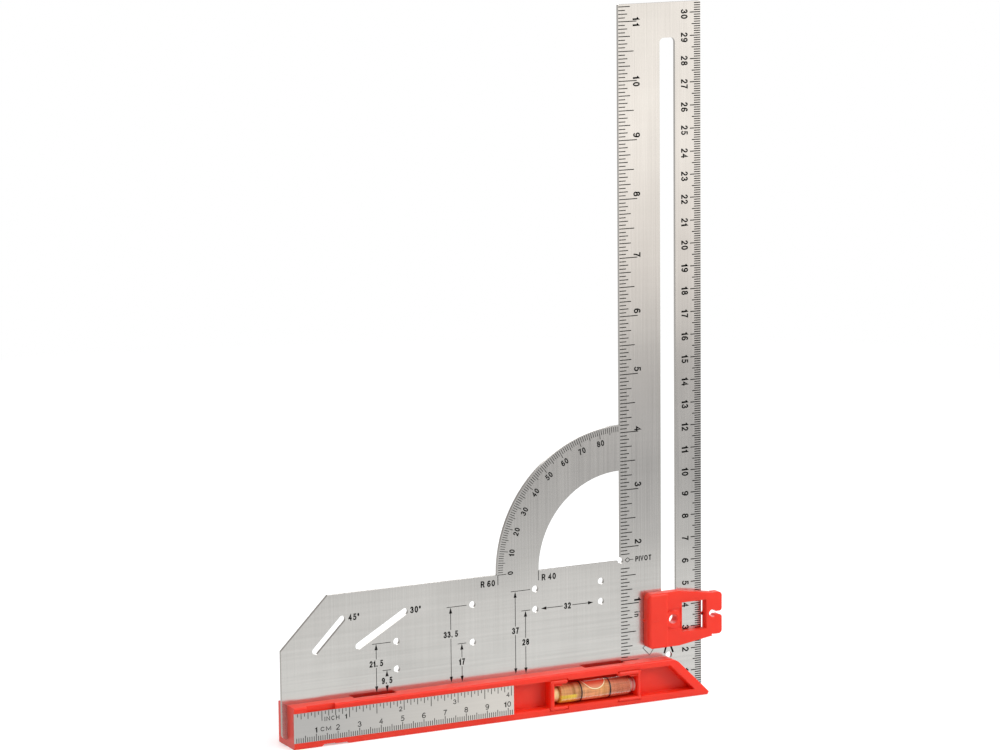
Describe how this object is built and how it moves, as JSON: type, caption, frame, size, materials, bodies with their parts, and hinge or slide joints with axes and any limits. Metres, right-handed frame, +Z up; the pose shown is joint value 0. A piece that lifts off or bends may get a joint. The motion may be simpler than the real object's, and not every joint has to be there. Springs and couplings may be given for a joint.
{
  "type": "carpenter square",
  "caption": "Steel square with a slotted ruler, marking holes, a protractor arc, a plastic fence with a spirit level and a sliding cursor.",
  "frame": {"origin": "on the underside of the base, under the middle of the whole tool's box; y = 0 is the middle of the steel sheet", "axes": "+Z up along the ruler, +X to the right along the base as seen from the front, -Y towards the side with the scales"},
  "size_m": [0.2094, 0.017, 0.3048],
  "materials": {
    "blade": "brushed stainless sheet with etched black scales",
    "base": "satin moulded ABS",
    "scale_strip": "satin steel strip with printed scales",
    "vial_tube": "clear acrylic",
    "vial_plug": "clear acrylic plug",
    "vial_liquid": "yellow-green spirit",
    "vial_bubble": "air bubble",
    "vial_ring_left": "black paint ring",
    "vial_ring_right": "black paint ring",
    "cursor_body": "satin moulded ABS",
    "cursor_keeper": "satin moulded ABS"
  },
  "bodies": {
    "square": {"blade": "blade", "base": "base", "scale_strip": "scale_strip", "vial_tube": "vial_tube", "vial_plug": "vial_plug", "vial_liquid": "vial_liquid", "vial_bubble": "vial_bubble", "vial_ring_left": "vial_ring_left", "vial_ring_right": "vial_ring_right"},
    "cursor": {"cursor_body": "cursor_body", "cursor_keeper": "cursor_keeper"}
  },
  "joints": [
    {"name": "cursor_slide", "type": "slide", "parent": "square", "child": "cursor", "axis": [0, 0, 1], "range_m": [-0.0014, 0.2448]}
  ]
}
